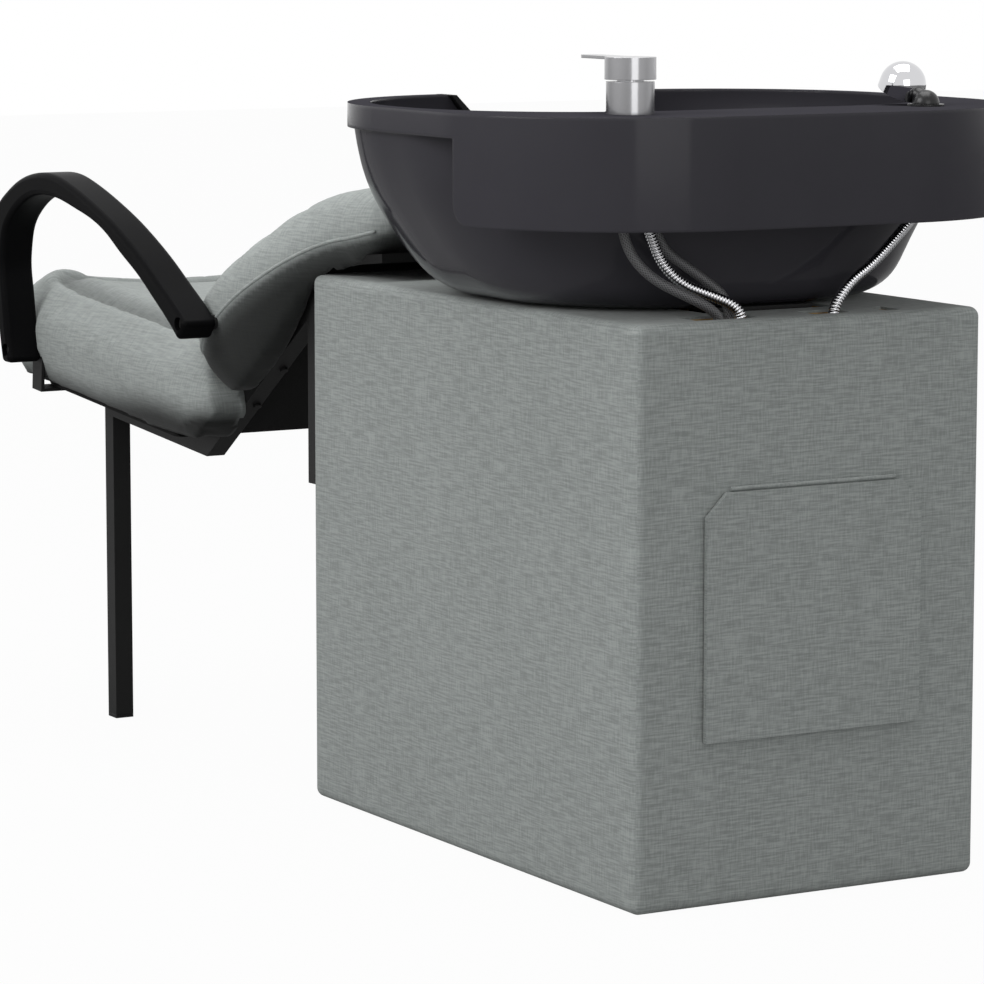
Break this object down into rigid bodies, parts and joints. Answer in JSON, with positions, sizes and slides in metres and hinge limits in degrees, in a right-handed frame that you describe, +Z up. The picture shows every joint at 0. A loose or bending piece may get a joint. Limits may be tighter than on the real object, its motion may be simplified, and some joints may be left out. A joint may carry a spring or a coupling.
{
  "type": "shampoo chair",
  "caption": "Salon shampoo chair: reclined padded seat with loop armrests on a tube frame, fixed to an upholstered cabinet with a tilting basin, mixer and hand shower.",
  "frame": {"origin": "on the floor, at the middle of the part's width and length", "axes": "+Z up, +Y to the rear, from the seat towards the basin, +X to the sitter's left"},
  "size_m": [0.612, 1.4, 0.816],
  "materials": {
    "woven_fabric": "grey slubbed weave",
    "black_cloth": "thin woven backing cloth",
    "chipboard": "raw board",
    "plywood": "raw board",
    "black_steel": "semi-gloss powder coat",
    "zinc_steel": "zinc plated",
    "mixer_chrome": "satin plating",
    "chrome": "polished",
    "glaze": "glossy dark grey glaze",
    "rubber": "soft black",
    "arm_polyurethane": "moulded integral skin",
    "black_plastic": "satin",
    "hose_braid": "woven wire braid",
    "grey_plastic": "ribbed",
    "brass": "turned",
    "magnet": "nickel plated"
  },
  "bodies": {
    "base": {"cabinet_base_panel": "chipboard", "cabinet_side_left": "chipboard", "cabinet_side_right": "chipboard", "cabinet_front_panel": "chipboard", "cabinet_back_panel": "chipboard", "cabinet_top_panel": "chipboard", "cabinet_cover": "woven_fabric", "cabinet_glides": "black_plastic", "flap_magnets": "magnet", "flap_hinge_fixed_leaf": "zinc_steel", "flap_hinge_pin": "zinc_steel", "tilt_bracket": "black_steel", "tilt_pivot_bolt": "zinc_steel", "rest_buffers": "rubber", "side_frame_left": "black_steel", "side_frame_right": "black_steel", "front_legs": "black_steel", "leg_foot_caps": "black_plastic", "frame_cross_tubes": "black_steel", "post_spacers": "black_plastic", "post_bolts": "zinc_steel", "board_screws": "zinc_steel", "seat_board": "plywood", "seat_bottom_cover": "black_cloth", "seat_cushion": "woven_fabric", "back_rear_cover": "black_cloth", "back_board": "plywood", "back_cushion": "woven_fabric", "armrest_left": "arm_polyurethane", "armrest_right": "arm_polyurethane", "arm_screws": "zinc_steel", "arm_brackets_front": "black_steel", "arm_brackets_rear": "black_steel", "shower_hose": "chrome", "supply_hose_hot": "hose_braid", "supply_hose_cold": "hose_braid", "hose_end_nuts": "brass", "hose_clips": "black_plastic", "waste_hose": "grey_plastic", "waste_coupling": "grey_plastic"},
    "flap": {"access_flap_board": "plywood", "access_flap_fabric": "woven_fabric", "flap_hinge_moving_leaf": "zinc_steel"},
    "basin": {"basin_shell": "glaze", "neck_rest": "rubber", "waste_flange": "chrome", "waste_tail": "chrome", "basin_mount_plate": "black_steel", "mixer_body": "mixer_chrome", "mixer_fixing_nut": "brass", "shower_holder": "black_plastic", "shower_holder_nut": "black_plastic"},
    "mixer_swivel": {"mixer_cartridge": "brass"},
    "mixer_lever": {"mixer_cap_lever": "mixer_chrome"},
    "hand_shower": {"shower_handle": "black_plastic", "shower_head": "chrome", "shower_spray_plate": "grey_plastic", "shower_hose_end": "chrome"},
    "strainer": {"hair_strainer": "chrome"}
  },
  "joints": [
    {"name": "basin_tilt", "type": "hinge", "parent": "base", "child": "basin", "pos_m": [0, 0.57, 0.536], "axis": [-1, 0, 0], "range_deg": [0, 12], "deforming": ["shower_hose", "supply_hose_hot", "supply_hose_cold", "waste_hose"]},
    {"name": "flap_hinge", "type": "hinge", "parent": "base", "child": "flap", "pos_m": [0, 0.6792, 0.40795], "axis": [1, 0, 0], "range_deg": [0, 95]},
    {"name": "mixer_swivel", "type": "hinge", "parent": "basin", "child": "mixer_swivel", "pos_m": [0.17, 0.617, 0.78], "axis": [0, 0, 1], "range_deg": [-45, 45]},
    {"name": "mixer_lift", "type": "hinge", "parent": "mixer_swivel", "child": "mixer_lever", "pos_m": [0.17, 0.617, 0.78], "axis": [-1, 0, 0], "range_deg": [0, 20]},
    {"name": "hand_shower_lift", "type": "slide", "parent": "basin", "child": "hand_shower", "axis": [0, 0, 1], "range_m": [0, 0.08], "deforming": ["shower_hose"]},
    {"name": "strainer_lift", "type": "slide", "parent": "basin", "child": "strainer", "axis": [0, 0, 1], "range_m": [0, 0.06]}
  ]
}
